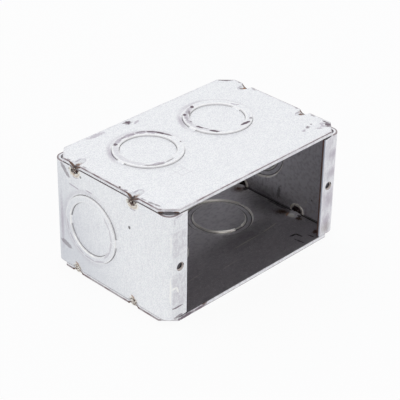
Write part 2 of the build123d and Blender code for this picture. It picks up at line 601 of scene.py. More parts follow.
@dataclass(frozen=True)
class Zinc:
    """Hot-dipped zinc on sheet steel: pale and finely mottled outside, in painted shade inside the box.

    Roughness is the least and the most. The other pairs are where a mask starts and where it is full, in
    millimetres: heights over the sheet's outer side in skin, outer_arris and inner_arris, and places on the
    box in the rest. The pads are lower and upper ends.
    """

    pale: Colour = from_screen(241, 242, 244)
    dull: Colour = from_screen(220, 221, 227)
    cool: Colour = from_screen(228, 232, 233)
    # Painted shade towards the back and the foot of the ends
    shaded: Colour = from_screen(198, 201, 209)
    # Painted shade inside the box, lighter at the back than at the opening
    inside_back: Colour = from_screen(226, 224, 226)
    inside_front_shade: Colour = from_screen(174, 170, 174)
    inside_blotch: Colour = from_screen(140, 136, 142)
    inside_speck: Colour = from_screen(232, 230, 232)
    # Brown of the worn arrises and cut corners, and of the painted shade at the strip's seam
    arris: Colour = from_screen(128, 110, 114)
    # Painted shade in the seams between the plates and the strip
    seam: Colour = from_screen(86, 68, 66)
    # Painted shade at the foot of the knockouts' walls outside
    gap: Colour = from_screen(142, 138, 140)
    sheared: Colour = from_screen(230, 229, 230)
    # Painted highlight on the knockouts' walls inside the box
    sheared_inside_highlight: Colour = from_screen(253, 251, 246)
    cut_rust: Tuple[Colour, Colour] = (from_screen(146, 104, 94), from_screen(186, 160, 156))
    # Painted highlight along the flanges' cut front edges
    edge_highlight: Colour = from_screen(226, 230, 240)
    mottling: float = 0.9
    roughness: Pair = (0.38, 0.5)
    burnt_gleam: float = 0.2
    wall_dullness: float = 0.15
    skin: Pair = (-0.5, -0.7)
    outer_arris: Pair = (-0.3, -0.12)
    inner_arris: Pair = (-1.35, -1.5)
    # Where the painted shade of the plates' inner corners starts and is full
    end_foot: Pair = (45.35, 45.65)
    back_foot: Pair = (29.1, 29.4)
    dimple_groove: Pair = (40.8, 41.8)
    left_part: Pair = (-22.0, -34.0)
    left_corner: Pair = (-30.0, -36.0)
    clean_back: Pair = (29.5, 27.5)
    right_flange: Pair = (30.0, 40.0)
    cut_front: Pair = (-29.8, -30.3)
    pads: Tuple[Pair, ...] = ((30.0, 41.2), (7.8, 22.8))
    pad_left: Pair = (-46.2, -45.8)
    pad_right: Pair = (-38.6, -39.0)

    def zinc_colour(self, bench: Bench) -> Socket:
        """Colour of clean zinc: fine grains, small blotches and cool patches.

        Args:
            bench: the material's nodes.
        Returns:
            The colour.
        """
        mix = bench.grain(0.5) * 0.82 + bench.grain(1.7) * 0.18
        colour = bench.blend(mix.step(0.43, 0.58, 0.0, self.mottling), self.pale, self.dull)
        return bench.blend(bench.patches(0.6, (0.5, 0.66), 0.0, self.mottling), colour, self.cool)

    def inside_shade_colour(self, bench: Bench) -> Socket:
        """Colour inside the box: a painted shade, darker towards the opening, with fine blotches along the
        length.

        Args:
            bench: the material's nodes.
        Returns:
            The colour.
        """
        depth = bench.y + bench.grain(9.0) * 14.0
        colour = bench.blend(depth.step(-14.0, 16.0), self.inside_front_shade, self.inside_back)
        blotch = bench.patches(1.3, (0.42, 0.68), 0.0, 0.28, 4.0, (1.8, 1.0, 1.0))
        colour = bench.blend(blotch, colour, self.inside_blotch)
        return bench.blend(bench.patches(0.45, (0.57, 0.68), 0.0, 0.42, 2.0), colour, self.inside_speck)

    def finish(self, bench: Bench, colour: Socket, dull: Level) -> bpy.types.Material:
        """Finished material.

        Args:
            bench: the material's nodes.
            colour: its colour.
            dull: mask of the places that gleam less like metal.
        Returns:
            The material.
        """
        metallic = dull.step(0.0, 1.0, 1.0, self.burnt_gleam)
        rough = bench.patches(2.4, (0.3, 0.7), *self.roughness)
        return bench.finish(colour, metallic, rough, bench.grain(0.45, 4.0), 0.03, 0.25)

    def lay_marks(self, bench: Bench, colour: Socket, marks: Marks) -> Tuple[Socket, Level]:
        """Lays the marks over a colour, tint by tint.

        Args:
            bench: the material's nodes.
            colour: what lies under the marks.
            marks: the marks, with those of folded planes last.
        Returns:
            The marked colour and the mask of the burnt places.
        """
        breakup = bench.grain(0.9, 4.0)
        burnt = []
        for tint in Tint:
            own = [mark for mark in marks if mark.tint is tint]
            if not own:
                continue
            mask = reduce(or_, (bench.spot(mark, breakup) for mark in own))
            colour = bench.blend(mask, colour, tint.value)
            if tint.matt:
                burnt.append(mask)
        return colour, reduce(or_, burnt)

    def sheared_colour(
        self, bench: Bench, colour: Socket, knockouts: Iterable[Knockout], inner: Level, out: Level
    ) -> Tuple[Socket, Level]:
        """Colours the knockouts' edges: sheared walls, painted highlights and shade on them, and a painted
        shadow round the rings.

        Args:
            bench: the material's nodes.
            colour: what lies under the edges.
            knockouts: the knockouts of the sheet.
            inner: mask of the inside of the box, where the walls' painted highlight takes in their arrises
                too.
            out: height over the sheet's outer face.
        Returns:
            The colour, and the mask of the walls.
        """
        radius = bench.radius(knockouts)
        walls = []
        rolls = []
        for circle, ringward in ((BOX.ring_radius, -1.0), (BOX.slug_radius, 1.0)):
            into = (radius - circle) * ringward
            walls.append((abs(into) - inner * 0.16).step(0.24, 0.1))
            rolls.append(into.step(0.08, 0.2) * into.step(0.85, 0.6))
        wall = reduce(or_, walls)
        roll = reduce(or_, rolls)
        outer = inner.step(1.0, 0.0)
        # Painted shadow round the foot of the ring, mostly behind it
        around = radius - BOX.ring_radius
        ring_foot_shadow = around.step(0.3, 1.0) * around.step(2.8, 1.2) * outer * bench.y.step(0.0, 14.0, 0.04, 0.27)
        colour = bench.blend(ring_foot_shadow, colour, Tint.SMUDGE_AND_SHADE.value)
        # Painted highlight along the rolled edges of the rings outside the box
        colour = bench.blend(roll * outer * 0.25, colour, Tint.PALE_AND_HIGHLIGHT.value)
        # Sheared colour on the walls, with a painted highlight on those inside the box
        colour = bench.blend(wall, colour, bench.blend(inner, self.sheared, self.sheared_inside_highlight))
        # Painted shade in patches at the foot of the walls outside the box
        patchy_foot_shade = bench.patches(5.0, (0.35, 0.65), 0.0, 0.12, 2.0)
        colour = bench.blend(wall * outer * out.step(0.4, 0.15) * patchy_foot_shade, colour, self.gap)
        shadow = roll * inner * wall.step(1.0, 0.0, 0.0, 0.65)
        return bench.blend(shadow, colour, Tint.SOOT_AND_SHADE.value), wall * outer

    def plate_material(
        self, name: str, outer: float, outward: int, knockouts: Iterable[Knockout], marks: Marks, worn: Pair
    ) -> bpy.types.Material:
        """Finish of one side plate.

        Args:
            name: the material's name.
            outer: height of the plate's outer face, millimetres.
            outward: 1 if the outer face looks up, -1 if it looks down.
            knockouts: the knockouts of the plate.
            marks: what the plate carries.
            worn: how deep the worn arris's brown reaches down the edge, at the left end and elsewhere.
        Returns:
            The material.
        """
        bench = Bench(name)
        out = (bench.z - outer) * float(outward)
        edge = self.plate_edge(bench)
        colour = self.zinc_colour(bench)
        shade = edge.step(1.6, 0.3, 0.0, 0.3) * bench.patches(1.6, (0.4, 0.6))
        colour = bench.blend(shade, colour, Tint.SMUDGE_AND_SHADE.value)
        # Inside of the box in painted shade, which follows the ridges under the dimples, with more painted
        # shade in the corners where it meets the strip
        across = abs(bench.x)
        dimple = self.dimple_rows(bench)
        sink = dimple * ((across - (BOX.plate_x - 6.0)) * 0.25)
        inner = (out + (sink | 0.0)).step(*self.skin) * edge.step(0.05, 0.35)
        colour = bench.blend(inner, colour, self.inside_shade_colour(bench))
        foot = across.step(*self.end_foot) | bench.y.step(*self.back_foot)
        colour = bench.blend(inner * foot * 0.85, colour, Tint.SOOT_AND_SHADE.value)
        groove = dimple * out.step(-0.05, -0.2) * across.step(*self.dimple_groove)
        colour, walls = self.sheared_colour(bench, colour, knockouts, inner, out)
        colour = bench.blend(self.worn_edge(bench, edge, out, worn), colour, self.arris)
        # Painted shade in the seam along the plate's edge, where it sits on the strip
        seam = edge.step(0.3, 0.1) * out.step(-1.4, -1.55, 0.0, 0.7 if outward > 0 else 0.25)
        colour = bench.blend(seam, colour, self.seam)
        colour, burnt = self.lay_marks(bench, colour, marks)
        return self.finish(bench, colour, burnt | groove | walls * self.wall_dullness)

    def worn_edge(self, bench: Bench, edge: Level, out: Level, worn: Pair) -> Level:
        """Mask of the brown arris of a side plate.

        Args:
            bench: the material's nodes.
            edge: distance in from the plate's outline.
            out: height over the plate's outer face.
            worn: how deep the brown reaches, at the left end and elsewhere.
        Returns:
            The mask, which is patchy, thin along the back and weak at the front left.
        """
        rubbed = (edge + bench.grain(1.3) * 0.3).step(0.52, 0.26)
        down = out + bench.x.step(*self.left_part, worn[1], worn[0])
        flat = abs(bench.x).step(BOX.plate_x - 0.6, BOX.plate_x - 1.0)
        kept = flat * bench.x.step(*self.left_corner)
        patchy = bench.patches(6.0, (0.4, 0.58), 0.6, 0.95) * kept.step(0.0, 1.0, 1.0, 0.35)
        return rubbed * down.step(-0.1, 0.1) * bench.y.step(*self.clean_back, 0.1, 1.0) * patchy

    def dimple_rows(self, bench: Bench) -> Level:
        """Mask of the two rows of weld dimples across a side plate."""
        return reduce(and_, [abs(bench.y - row) for row in BOX.weld_rows]).step(3.0, 2.6)

    def plate_edge(self, bench: Bench) -> Level:
        """Distance in from the clipped outline of a side plate.

        Args:
            bench: the material's nodes.
        Returns:
            The distance, millimetres.
        """
        across = abs(bench.x)
        half = (BOX.plate_back - BOX.plate_front) / 2
        along = abs(bench.y - (BOX.plate_front + BOX.plate_back) / 2)
        corner = ((BOX.plate_x + half - BOX.clip) - (across + along)) * math.sqrt(0.5)
        return (BOX.plate_x - across) & (half - along) & corner

    def strip_depth(self, bench: Bench) -> Level:
        """Height over the outer side of the folded strip, bends and all.

        Args:
            bench: the material's nodes.
        Returns:
            The height, millimetres: 0 on the outer side and below 0 inside.
        """
        half = (BOX.back - BOX.rim) / 2
        along = abs(bench.y - (BOX.rim + BOX.back) / 2) - (half - BOX.bend) | 0.0
        across = abs(bench.x) - (BOX.end - BOX.bend) | 0.0
        return (across * across + along * along).root() - BOX.bend

    def strip_material(self, name: str, knockouts: Iterable[Knockout], marks: Marks) -> bpy.types.Material:
        """Finish of the folded strip.

        Args:
            name: the material's name.
            knockouts: the knockouts of the strip.
            marks: what the strip carries.
        Returns:
            The material.
        """
        bench = Bench(name)
        out = self.strip_depth(bench)
        colour = self.flange_wear(bench, self.end_shade(bench, self.zinc_colour(bench)))
        # Distance from the edge that a side plate lies on
        rim = (BOX.strip_top - BOX.strip_bottom) / 2 - abs(bench.z - BOX.middle_z)
        inner = out.step(*self.skin) * rim.step(0.15, 0.3)
        # Painted shade inside the box, darker towards the opening
        colour = bench.blend(inner, colour, self.inside_shade_colour(bench))
        colour, walls = self.sheared_colour(bench, colour, knockouts, inner, out)
        # Brown painted shade along the arrises of that edge at the seam under the plate, its brown outer half
        # beyond the plate's corner, and painted shade inside below it
        seam = rim.step(0.2, 0.06) * (out.step(*self.outer_arris) | out.step(*self.inner_arris))
        colour = bench.blend(seam * bench.z.step(20.0, 30.0, 0.35, 0.8), colour, self.arris)
        plate = self.plate_edge(bench)
        corner = plate.step(-0.1, -0.4) * out.step(-0.85, -0.55) * rim.step(0.3, 0.1)
        colour = bench.blend(corner * 0.75, colour, self.arris)
        foot = inner * plate.step(0.2, 0.9) * rim.step(0.7, 0.3, 0.0, 0.85)
        colour = bench.blend(foot, colour, Tint.SOOT_AND_SHADE.value)
        # Cut ends of the flanges, rusty but for a painted highlight along their front edge
        cut = abs(bench.x).step(BOX.mouth + 0.2, BOX.mouth + 0.05) * bench.y.step(*self.cut_front)
        rusty = bench.blend(bench.grain(1.4), *self.cut_rust)
        bright = bench.y.step(BOX.rim + 0.8, BOX.rim + 0.55)
        colour = bench.blend(cut, colour, bench.blend(bright, rusty, self.edge_highlight))
        colour, burnt = self.lay_marks(bench, colour, marks)
        return self.finish(bench, colour, burnt | walls * self.wall_dullness | cut * bright)

    def end_shade(self, bench: Bench, colour: Socket) -> Socket:
        """Lays upright streaks over a colour, and a painted shade that grows towards the back and the foot.

        Args:
            bench: the material's nodes.
            colour: what lies under them.
        Returns:
            The shaded colour.
        """
        streaks = bench.patches(0.8, (0.5, 0.68), stretch=(1.0, 1.0, 6.0))
        colour = bench.blend(streaks * 0.1, colour, Tint.SMUDGE_AND_SHADE.value)
        fade = bench.y - (bench.z - BOX.middle_z) * 0.7 + bench.grain(7.0) * 10.0
        return bench.blend(fade.step(-8.0, 46.0, 0.0, 0.6), colour, self.shaded)

    def flange_wear(self, bench: Bench, colour: Socket) -> Socket:
        """Lays the flanges' rubbed patches and the pressed pads of the left one over a colour.

        Args:
            bench: the material's nodes.
            colour: what lies under them.
        Returns:
            The worn colour.
        """
        front = bench.y.step(BOX.rim + 0.5, BOX.rim + 0.2)
        right = bench.x.step(*self.right_flange, 0.2, 1.0)
        rubbed = bench.patches(2.2, (0.42, 0.64), 0.22, 0.5, 4.0, (0.6, 1.0, 1.6))
        colour = bench.blend(front * right * rubbed, colour, Tint.SMUDGE_AND_SHADE.value)
        pressed = reduce(or_, [
            bench.z.step(low, low + 0.5) * bench.z.step(high, high - 0.5) for low, high in self.pads
        ])
        pad = front * pressed * bench.x.step(*self.pad_left) * bench.x.step(*self.pad_right)
        worn = bench.patches(1.8, (0.35, 0.6), 0.05, 0.35, 3.0, (0.6, 1.0, 1.4))
        return bench.blend(pad * worn, colour, Tint.SMUDGE_AND_SHADE.value)


@dataclass
class SheetPiece:
    """A sheet-metal piece: a merged copy of its CAD node with its sheared edges broken.

    The CAD mesh is welded up at merge and thinned where it is flat, sharp is the angle in degrees above
    which an edge is broken, and sliver the size below which a face is taken out.
    """

    node: str
    knockouts: Tuple[Knockout, ...]
    arris: float = 0.12
    rolled: float = 0.4
    merge: float = 0.003
    flat: float = 0.5
    sharp: float = 35.0
    sliver: float = 0.0002

    def build(self) -> bpy.types.Object:
        """Makes the piece's mesh from the node's.

        Returns:
            The piece, which rides on the frame and stands for the node.
        """
        shape = bmesh.new()
        shape.from_mesh(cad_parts[self.node].data)
        bmesh.ops.remove_doubles(shape, verts=shape.verts, dist=self.merge * MM)
        bmesh.ops.dissolve_limit(
            shape, angle_limit=math.radians(self.flat), verts=shape.verts, edges=shape.edges
        )
        circles = [e for e in self.sharp_edges(shape) if any(k.rounds(e) for k in self.knockouts)]
        self.break_edges(shape, circles, self.rolled, 3)
        self.break_edges(shape, self.sharp_edges(shape), self.arris, 2)
        bmesh.ops.dissolve_degenerate(shape, dist=self.sliver * MM, edges=shape.edges)
        return place_piece(shape, self.node + "_sheet", self.node)

    def sharp_edges(self, shape: bmesh.types.BMesh) -> List[bmesh.types.BMEdge]:
        """Edges between faces that meet at a marked angle."""
        return [e for e in shape.edges if e.is_manifold and e.calc_face_angle() > math.radians(self.sharp)]

    def break_edges(
        self, shape: bmesh.types.BMesh, edges: List[bmesh.types.BMEdge], offset: float, segments: int
    ) -> None:
        """Rounds edges over.

        Args:
            shape: the mesh.
            edges: its edges to round.
            offset: how far the rounding reaches, millimetres.
            segments: how many faces it has across.
        """
        bmesh.ops.bevel(
            shape, geom=edges, offset=offset * MM, offset_type="OFFSET", segments=segments, profile=0.5,
            affect="EDGES", clamp_overlap=False, material=-1,
        )


@dataclass(frozen=True)
class WeldMetal:
    """Squeezed-out weld metal: scorched brown and purple, with bare bright specks."""

    scorched: Colour = from_screen(88, 66, 60)
    dark: Colour = from_screen(42, 33, 32)
    bright: Colour = from_screen(226, 220, 212)
    soot: Colour = from_screen(24, 19, 19)
    outside: Pair = (46.6, 46.9)
    lower_half: Pair = (26.0, 24.0)
    splash_rim: Pair = (2.6, 2.8)

    def material(self, name: str) -> bpy.types.Material:
        """Material of the lumps: brightest outside at the foot, sooty inside but for the splash's rim.

        Args:
            name: the material's name.
        Returns:
            The material.
        """
        bench = Bench(name)
        colour = bench.blend(bench.patches(0.9, (0.4, 0.6)), self.scorched, self.dark)
        outside = abs(bench.x).step(*self.outside)
        inside = outside.step(1.0, 0.0)
        gleam = bench.grain(0.5, 2.0) + outside * bench.z.step(*self.lower_half) * 0.13
        gleam = gleam + outside.step(0.0, 1.0, -0.14, 0.0)
        colour = bench.blend(inside * 0.8, colour, self.soot)
        hearts = [(BOX.end - BOX.sheet, row, BOX.upper_face - BOX.splash) for row in BOX.weld_rows]
        away = reduce(and_, [bench.length(bench.laid(Face.END, heart, folded=True)) for heart in hearts])
        rim = away.step(*self.splash_rim) * inside
        colour = bench.blend(rim | gleam.step(0.54, 0.64), colour, self.bright)
        rough = bench.patches(0.7, (0.3, 0.7), 0.25, 0.55, 2.0)
        return bench.finish(colour, 0.8, rough, bench.grain(0.3), 0.08, 0.4)


@dataclass
class WeldLumps:
    """Metal squeezed out at the eight welds, on both faces of the end walls.

    Sizes are in millimetres. Spreads and the arch's section are half sizes, bedding is how deep the lumps sit
    in the wall, and stray is how far the crumbs may lie along the wall and up it. The seed fixes where they
    lie and how the arches waver.
    """

    outer_spread: Triple = (0.62, 1.9, 1.15)
    lower_spread: Triple = (0.5, 1.5, 0.75)
    inner_spread: Triple = (1.0, 2.3, 1.5)
    filler_spread: Triple = (0.55, 1.8, 0.75)
    spatter_spread: Triple = (0.35, 0.45, 0.22)
    bedding: float = 0.05
    lower_drop: float = 0.5
    inner_rise: float = 0.3
    filler_inset: float = 0.6
    filler_rise: float = 0.9
    arch_radius: float = 3.2
    arch_section: Pair = (0.3, 0.6)
    arch_waver: float = 0.2
    crumbs: int = 5
    crumb_size: float = 0.22
    crumb_growth: float = 0.3
    crumb_rise: float = 0.5
    stray: Pair = (4.2, 2.0)
    seed: int = 1
    spatter: Tuple[Triple, ...] = ((-46.8, -5.6, 49.95),)

    def build(self) -> bpy.types.Object:
        """Makes all the lumps as one piece that stands for the beads.

        Returns:
            The lumps, in their own material.
        """
        noise.seed_set(self.seed)
        shape = bmesh.new()
        wall = BOX.end - self.bedding
        inner_wall = BOX.end - BOX.sheet + self.bedding
        filler_x = BOX.end - self.filler_inset
        for face, up in ((BOX.upper_face, 1), (BOX.lower_face, -1)):
            level = face - up * BOX.ridge
            inner_level = level + up * self.inner_rise
            drop, spread = (0.0, self.outer_spread) if up > 0 else (self.lower_drop, self.lower_spread)
            for side in (-1, 1):
                for row in BOX.weld_rows:
                    self.lump(shape, Vector((side * wall, row, level - drop)), spread, up)
                    self.lump(shape, Vector((side * inner_wall, row, inner_level)), self.inner_spread, up)
                    self.arch(shape, Vector((side * inner_wall, row, face - up * BOX.splash)), up)
                    if up < 0:
                        filler = Vector((side * filler_x, row, face + self.filler_rise))
                        self.blob(shape, filler, self.filler_spread)
        for place in self.spatter:
            self.blob(shape, Vector(place), self.spatter_spread)
        bmesh.ops.recalc_face_normals(shape, faces=shape.faces)
        piece = place_piece(shape, "weld_lumps", "weld_beads", 60.0)
        piece.data.materials.append(WeldMetal().material("weld_metal"))
        return piece

    def lump(self, shape: bmesh.types.BMesh, at: Vector, spread: Triple, up: int) -> None:
        """One weld: a rough flat lump with a few crumbs beside it, in millimetres.

        Args:
            shape: the mesh that takes it.
            at: the middle of the weld on the wall.
            spread: half sizes of the lump.
            up: 1 where the plate lies above, -1 where it lies below.
        """
        self.blob(shape, at, spread)
        for index in range(self.crumbs):
            drift = noise.noise_vector(at * 0.37 + Vector((index * 5.1, 0, 0)))
            along, rise = drift.y * self.stray[0], drift.z * self.stray[1] + up * self.crumb_rise
            size = self.crumb_size + self.crumb_growth * abs(drift.x)
            self.blob(shape, at + Vector((0, along, rise)), (size, size * 1.3, size))

    def arch(self, shape: bmesh.types.BMesh, at: Vector, up: int) -> None:
        """Low arch of splashed metal beyond one lump, away from its plate.

        Args:
            shape: the mesh that takes it.
            at: the middle of the weld on the wall.
            up: 1 where the plate lies above, -1 where it lies below.
        """
        start = len(shape.verts)
        place = Matrix.Translation((at + Vector((0, self.arch_radius, 0))) * MM)
        section = place @ Matrix.Diagonal((*self.arch_section, 1.0, 1.0))
        bmesh.ops.create_circle(shape, cap_ends=True, segments=12, radius=MM, matrix=section)
        shape.verts.ensure_lookup_table()
        face = shape.verts[start].link_faces[0]
        bmesh.ops.spin(
            shape, geom=[face, *face.edges, *face.verts], cent=at * MM, axis=(1, 0, 0), angle=-up * math.pi,
            steps=28, use_merge=False, use_duplicate=False,
        )
        shape.verts.ensure_lookup_table()
        for vertex in shape.verts[start:]:
            vertex.co += noise.noise_vector(vertex.co / MM * 0.8) * (self.arch_waver * MM)

    def blob(self, shape: bmesh.types.BMesh, at: Vector, reach: Triple) -> None:
        """A roughened ball, pressed to its half sizes.

        Args:
            shape: the mesh that takes it.
            at: its middle, millimetres.
            reach: its half sizes, millimetres.
        """
        made = bmesh.ops.create_icosphere(shape, subdivisions=3, radius=1.0)["verts"]
        for vertex in made:
            swell = 1 + 0.3 * noise.noise(vertex.co * 1.7 + at) + 0.14 * noise.noise(vertex.co * 4.1 + at * 2)
            vertex.co = (at + Vector(a * b for a, b in zip(vertex.co, reach)) * swell) * MM


@dataclass
class ScrewThread:
    """Ridge of the thread in one device screw hole, bedded a little into the hole's wall.

    Over its turns the ridge climbs a share of its full pitch, to stay within the sheet.
    """

    centre_x: float
    pitch: float = 0.794
    rise: float = 0.42
    turns: float = 1.9
    bedding: float = 0.06
    climb: float = 0.45
    steps_per_turn: int = 24

    def build(self, material: bpy.types.Material) -> bpy.types.Object:
        """Makes the ridge.

        Args:
            material: finish of the ridge.
        Returns:
            The ridge, in the hole of the strip's flange.
        """
        shape = bmesh.new()
        outer = BOX.hole_radius + self.bedding
        start = BOX.rim + 0.05
        corners = ((outer, -0.02), (outer - self.rise, 0.35 * self.pitch), (outer, 0.7 * self.pitch))
        section = [
            shape.verts.new(Vector((self.centre_x + reach, start + along, BOX.middle_z)) * MM)
            for reach, along in corners
        ]
        face = shape.faces.new(section)
        steps = int(self.steps_per_turn * self.turns)
        bmesh.ops.spin(
            shape, geom=[face, *face.edges, *face.verts],
            cent=Vector((self.centre_x, BOX.rim, BOX.middle_z)) * MM, axis=(0, 1, 0),
            dvec=(0, self.pitch * self.turns / steps * MM * self.climb, 0),
            angle=math.tau * self.turns, steps=steps, use_merge=False, use_duplicate=False,
        )
        bmesh.ops.recalc_face_normals(shape, faces=shape.faces)
        side = "left" if self.centre_x < 0 else "right"
        piece = place_piece(shape, f"screw_thread_{side}", None, 40.0)
        piece.data.materials.append(material)
        return piece


def place_piece(
    shape: bmesh.types.BMesh, name: str, stands_for: Optional[str], smooth: float = 20.0
) -> bpy.types.Object:
    """Turns a bmesh into a piece that rides on the frame.

    Args:
        shape: the mesh in metres, in the row's frame. It is freed.
        name: the piece's name.
        stands_for: the CAD node it replaces, or None.
        smooth: angle in degrees above which an edge stays sharp.
    Returns:
        The new object.
    """
    mesh = bpy.data.meshes.new(name)
    shape.to_mesh(mesh)
    shape.free()
    mesh.shade_smooth()
    mesh.set_sharp_from_angle(angle=math.radians(smooth))
    piece = bpy.data.objects.new(name, mesh)
    bpy.context.scene.collection.objects.link(piece)
    flat = piece.modifiers.new("flat_faces", "WEIGHTED_NORMAL")
    flat.weight = 80
    flat.keep_sharp = True
    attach(piece, "root")
    if stands_for:
        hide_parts(stands_for)
    LOG.info("%s: %d faces", name, len(mesh.polygons))
    return piece


@dataclass
class Studio:
    """Pale floor, soft light and the camera at the photograph's angle.

    Places and the lamp's size are in millimetres, and white_share is how white the camera sees the floor.
    """

    camera_at: Triple = (-354.41, -345.33, 321.47)
    look_back: Triple = (-0.6138, -0.5962, 0.5174)
    roll: float = 0.98
    lens: float = 130.89
    sensor: float = 36.0
    world_level: float = 0.75
    world_colour: Colour = (0.97, 0.98, 1.0)
    floor_colour: Colour = (0.86, 0.86, 0.87)
    white_share: float = 0.92
    lamp_at: Triple = (-150, -100, 1200)
    lamp_to: Triple = (0, 0, 20)
    lamp_size: float = 3000
    lamp_watts: float = 5.0

    def build(self) -> None:
        """Makes the floor, the world, the lamp and the camera."""
        self.floor()
        self.world()
        self.lamp()
        self.camera()
        bpy.context.scene.view_settings.view_transform = "Standard"

    def seen_plainly(self, nodes: Nodes) -> Level:
        """Mask of camera, glossy and transmission rays.

        Args:
            nodes: the node tree that takes it.
        Returns:
            The mask.
        """
        path = nodes.add("LightPath", {}).outputs
        rays = ("Camera", "Glossy", "Transmission")
        return reduce(or_, [Level(nodes, path[f"Is {ray} Ray"]) for ray in rays])

    def floor(self) -> None:
        """Wide pale floor that shows white and keeps a soft shadow."""
        shape = bmesh.new()
        bmesh.ops.create_grid(shape, x_segments=1, y_segments=1, size=4.0)
        mesh = bpy.data.meshes.new("studio_floor")
        shape.to_mesh(mesh)
        shape.free()
        floor = bpy.data.objects.new("studio_floor", mesh)
        bpy.context.scene.collection.objects.link(floor)
        material = bpy.data.materials.new("studio_floor")
        material.use_nodes = True
        nodes = Nodes(material.node_tree)
        matte = nodes.add("BsdfDiffuse", {"Color": (*self.floor_colour, 1.0)})
        white = nodes.add("Emission", {"Strength": 1.0})
        share = self.seen_plainly(nodes) * self.white_share
        mix = nodes.add("MixShader", {0: share, 1: matte.outputs[0], 2: white.outputs[0]})
        nodes.add("OutputMaterial", {"Surface": mix.outputs[0]})
        mesh.materials.append(material)

    def world(self) -> None:
        """White surroundings that light the box evenly."""
        world = bpy.data.worlds.new("studio")
        bpy.context.scene.world = world
        world.use_nodes = True
        nodes = Nodes(world.node_tree)
        light = nodes.add("Background", {"Color": (*self.world_colour, 1.0), "Strength": self.world_level})
        seen = nodes.add("Background", {"Color": (1.0, 1.0, 1.0, 1.0), "Strength": 1.0})
        mix = nodes.add("MixShader", {0: self.seen_plainly(nodes), 1: light.outputs[0], 2: seen.outputs[0]})
        nodes.add("OutputWorld", {"Surface": mix.outputs[0]})

    def lamp(self) -> None:
        """Square soft lamp overhead."""
        data = bpy.data.lights.new("overhead_softbox", "AREA")
        data.shape = "SQUARE"
        data.size = self.lamp_size * MM
        data.energy = self.lamp_watts
        lamp = bpy.data.objects.new("overhead_softbox", data)
        lamp.location = Vector(self.lamp_at) * MM
        lamp.rotation_euler = (Vector(self.lamp_at) - Vector(self.lamp_to)).to_track_quat("Z", "Y").to_euler()
        bpy.context.scene.collection.objects.link(lamp)

    def camera(self) -> None:
        """Camera at the photograph's viewing angle."""
        back = Vector(self.look_back).normalized()
        right = Vector((0, 0, 1)).cross(back).normalized()
        up = back.cross(right)
        turn = math.radians(self.roll)
        axes = (
            right * math.cos(turn) + up * math.sin(turn),
            up * math.cos(turn) - right * math.sin(turn),
            back,
        )
        data = bpy.data.cameras.new("photo_camera")
        data.sensor_width = self.sensor
        data.lens = self.lens
        data.clip_start = 0.01
        camera = bpy.data.objects.new("photo_camera", data)
        place = Matrix.Translation(Vector(self.camera_at) * MM)
        camera.matrix_world = place @ Matrix(axes).transposed().to_4x4()
        bpy.context.scene.collection.objects.link(camera)
        bpy.context.scene.camera = camera


FACE_TOP = MarkPlane(Face.FLAT, BOX.upper_face)
RING_TOP = MarkPlane(Face.FLAT, BOX.upper_face + BOX.ring_raise)
GROOVE = MarkPlane(Face.FLAT, BOX.upper_face - 0.9)
CLIP_FOOT = MarkPlane(Face.FLAT, BOX.upper_face - 1.3)
FLOOR = MarkPlane(Face.FLAT, BOX.lower_face + BOX.sheet)
LOWER_EDGE = MarkPlane(Face.FRONT, BOX.plate_front)
LEFT_END = MarkPlane(Face.END, -BOX.end)
LEFT_RING = MarkPlane(Face.END, -BOX.end - BOX.ring_raise)
RIGHT_WALL = MarkPlane(Face.END, BOX.end - BOX.sheet)
FRONT = MarkPlane(Face.FRONT, BOX.rim)
BORE = MarkPlane(Face.FRONT, BOX.rim + BOX.sheet / 2)


